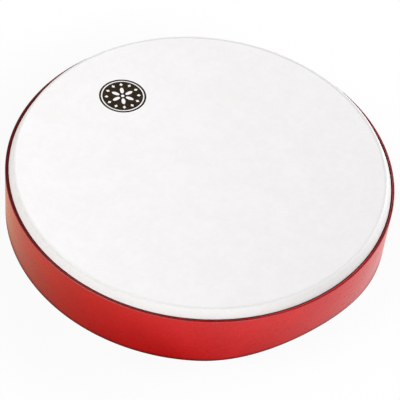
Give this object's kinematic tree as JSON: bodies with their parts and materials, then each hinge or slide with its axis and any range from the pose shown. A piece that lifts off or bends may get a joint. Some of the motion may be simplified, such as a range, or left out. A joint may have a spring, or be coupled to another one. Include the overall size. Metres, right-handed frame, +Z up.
{
  "type": "frame drum",
  "caption": "Round pandero: shallow red shell with a waved hand grip in its foot, and a fixed white film head with a raised collar.",
  "frame": {"origin": "centre of the circle that the drum stands on, open side down", "axes": "+Z up through the middle of the head; -Y towards the hand grip in the shell's lower edge"},
  "size_m": [0.3556, 0.3556, 0.0635],
  "materials": {
    "red_shell": "satin gloss",
    "red_ring": "satin gloss",
    "film": "coated, faintly mottled",
    "hoop": "plain",
    "wire": "drawn",
    "resin": "cast"
  },
  "bodies": {
    "root": {"shell": "red_shell", "mouth_ring": "red_ring", "drum_head": "film", "bearing_hoop": "hoop", "hem_wire": "wire", "resin_bed": "resin"}
  },
  "joints": []
}
